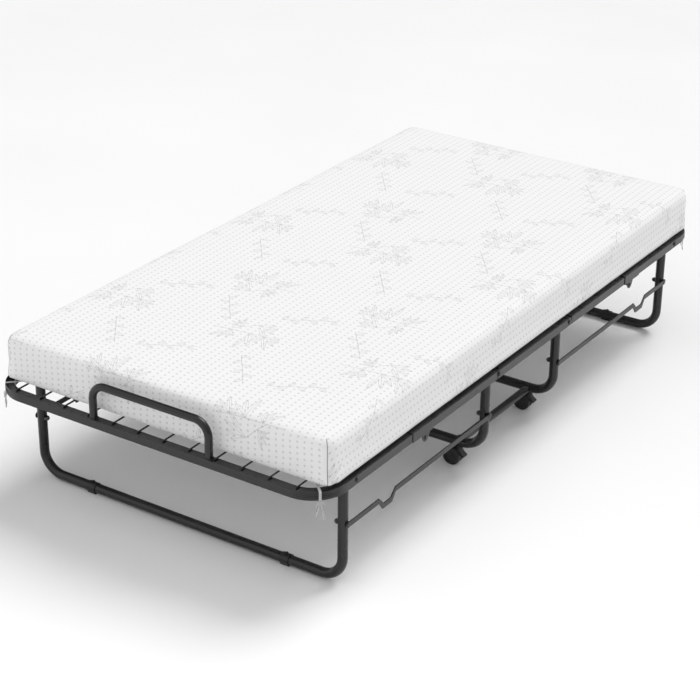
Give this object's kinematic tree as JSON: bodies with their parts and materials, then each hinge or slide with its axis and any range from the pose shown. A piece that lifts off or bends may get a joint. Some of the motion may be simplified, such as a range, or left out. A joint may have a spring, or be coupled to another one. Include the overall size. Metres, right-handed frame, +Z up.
{
  "type": "folding cot",
  "caption": "Rollaway folding cot with a foam mattress, a steel tube frame that folds up at both ends, swing links, wheels and a handle.",
  "frame": {"origin": "on the floor, under the middle of the frame", "axes": "+X to the right across the width, +Y along the length away from the handle end, +Z up"},
  "size_m": [1.024, 1.98, 0.4418],
  "materials": {
    "frame_steel": "satin",
    "link_steel": "satin",
    "wire_steel": "satin",
    "bolt_steel": "satin",
    "nut_steel": "satin",
    "black_plastic": "matte",
    "wheel_tread": "matte",
    "cover_fabric": "matte",
    "tie_tape": "matte"
  },
  "bodies": {
    "base": {"centre_leg_front": "frame_steel", "centre_leg_rear": "frame_steel", "caster_tube_left": "frame_steel", "caster_tube_right": "frame_steel", "middle_rail_left": "frame_steel", "middle_rail_right": "frame_steel", "middle_deck_wires": "wire_steel", "centre_bolts": "bolt_steel", "centre_nuts": "nut_steel", "mattress_middle": "cover_fabric"},
    "front_half": {"rail_front": "frame_steel", "deck_wires_front": "wire_steel", "mattress_front": "cover_fabric", "handle_hoop": "frame_steel", "lock_bracket_front_left": "link_steel", "mattress_tie_front_left": "tie_tape", "tie_tail_a_front_left": "tie_tape", "tie_tail_b_front_left": "tie_tape", "lock_bracket_front_right": "link_steel", "mattress_tie_front_right": "tie_tape", "tie_tail_a_front_right": "tie_tape", "tie_tail_b_front_right": "tie_tape"},
    "front_end_leg": {"end_leg_front": "frame_steel", "end_leg_bolts_front": "bolt_steel", "end_leg_nuts_front": "nut_steel", "foot_clip_front_left": "black_plastic", "foot_clip_front_right": "black_plastic"},
    "rear_half": {"rail_rear": "frame_steel", "deck_wires_rear": "wire_steel", "mattress_rear": "cover_fabric", "lock_bracket_rear_left": "link_steel", "mattress_tie_rear_left": "tie_tape", "tie_tail_a_rear_left": "tie_tape", "tie_tail_b_rear_left": "tie_tape", "lock_bracket_rear_right": "link_steel", "mattress_tie_rear_right": "tie_tape", "tie_tail_a_rear_right": "tie_tape", "tie_tail_b_rear_right": "tie_tape"},
    "rear_end_leg": {"end_leg_rear": "frame_steel", "end_leg_bolts_rear": "bolt_steel", "end_leg_nuts_rear": "nut_steel", "foot_clip_rear_left": "black_plastic", "foot_clip_rear_right": "black_plastic"},
    "link_front_left": {"link_front_left": "link_steel"},
    "caster_front_left": {"caster_fork_front_left": "black_plastic"},
    "wheels_front_left": {"caster_wheels_front_left": "wheel_tread"},
    "link_front_right": {"link_front_right": "link_steel"},
    "caster_front_right": {"caster_fork_front_right": "black_plastic"},
    "wheels_front_right": {"caster_wheels_front_right": "wheel_tread"},
    "link_rear_left": {"link_rear_left": "link_steel"},
    "caster_rear_left": {"caster_fork_rear_left": "black_plastic"},
    "wheels_rear_left": {"caster_wheels_rear_left": "wheel_tread"},
    "link_rear_right": {"link_rear_right": "link_steel"},
    "caster_rear_right": {"caster_fork_rear_right": "black_plastic"},
    "wheels_rear_right": {"caster_wheels_rear_right": "wheel_tread"}
  },
  "joints": [
    {"name": "front_fold", "type": "hinge", "parent": "base", "child": "front_half", "pos_m": [0, -0.19, 0.301], "axis": [-1, 0, 0], "range_deg": [0, 84.5]},
    {"name": "front_leg_fold", "type": "hinge", "parent": "front_half", "child": "front_end_leg", "pos_m": [0, -0.85, 0.301], "axis": [1, 0, 0], "range_deg": [0, 84.5]},
    {"name": "link_front_left_swing", "type": "hinge", "parent": "base", "child": "link_front_left", "pos_m": [-0.4835, -0.19, 0.171], "axis": [-1, 0, 0], "range_deg": [0, 84.5]},
    {"name": "link_front_right_swing", "type": "hinge", "parent": "base", "child": "link_front_right", "pos_m": [0.4835, -0.19, 0.171], "axis": [-1, 0, 0], "range_deg": [0, 84.5]},
    {"name": "rear_fold", "type": "hinge", "parent": "base", "child": "rear_half", "pos_m": [0, 0.19, 0.301], "axis": [1, 0, 0], "range_deg": [0, 84.5]},
    {"name": "rear_leg_fold", "type": "hinge", "parent": "rear_half", "child": "rear_end_leg", "pos_m": [0, 0.85, 0.301], "axis": [-1, 0, 0], "range_deg": [0, 84.5]},
    {"name": "link_rear_left_swing", "type": "hinge", "parent": "base", "child": "link_rear_left", "pos_m": [-0.4835, 0.19, 0.171], "axis": [1, 0, 0], "range_deg": [0, 84.5]},
    {"name": "link_rear_right_swing", "type": "hinge", "parent": "base", "child": "link_rear_right", "pos_m": [0.4835, 0.19, 0.171], "axis": [1, 0, 0], "range_deg": [0, 84.5]},
    {"name": "caster_front_left_swivel", "type": "hinge", "parent": "base", "child": "caster_front_left", "pos_m": [-0.395, -0.19, 0.06], "axis": [0, 0, 1], "continuous": true},
    {"name": "wheels_front_left_spin", "type": "hinge", "parent": "caster_front_left", "child": "wheels_front_left", "pos_m": [-0.411, -0.19, 0.025], "axis": [0, -1, 0], "continuous": true},
    {"name": "caster_front_right_swivel", "type": "hinge", "parent": "base", "child": "caster_front_right", "pos_m": [0.395, -0.19, 0.06], "axis": [0, 0, 1], "continuous": true},
    {"name": "wheels_front_right_spin", "type": "hinge", "parent": "caster_front_right", "child": "wheels_front_right", "pos_m": [0.379, -0.19, 0.025], "axis": [0, -1, 0], "continuous": true},
    {"name": "caster_rear_left_swivel", "type": "hinge", "parent": "base", "child": "caster_rear_left", "pos_m": [-0.395, 0.19, 0.06], "axis": [0, 0, 1], "continuous": true},
    {"name": "wheels_rear_left_spin", "type": "hinge", "parent": "caster_rear_left", "child": "wheels_rear_left", "pos_m": [-0.411, 0.19, 0.025], "axis": [0, -1, 0], "continuous": true},
    {"name": "caster_rear_right_swivel", "type": "hinge", "parent": "base", "child": "caster_rear_right", "pos_m": [0.395, 0.19, 0.06], "axis": [0, 0, 1], "continuous": true},
    {"name": "wheels_rear_right_spin", "type": "hinge", "parent": "caster_rear_right", "child": "wheels_rear_right", "pos_m": [0.379, 0.19, 0.025], "axis": [0, -1, 0], "continuous": true}
  ],
  "couplings": [
    {"joint": "front_leg_fold", "follows": "front_fold", "ratio": 1},
    {"joint": "link_front_left_swing", "follows": "front_fold", "ratio": 1},
    {"joint": "link_front_right_swing", "follows": "front_fold", "ratio": 1},
    {"joint": "rear_leg_fold", "follows": "rear_fold", "ratio": 1},
    {"joint": "link_rear_left_swing", "follows": "rear_fold", "ratio": 1},
    {"joint": "link_rear_right_swing", "follows": "rear_fold", "ratio": 1}
  ]
}
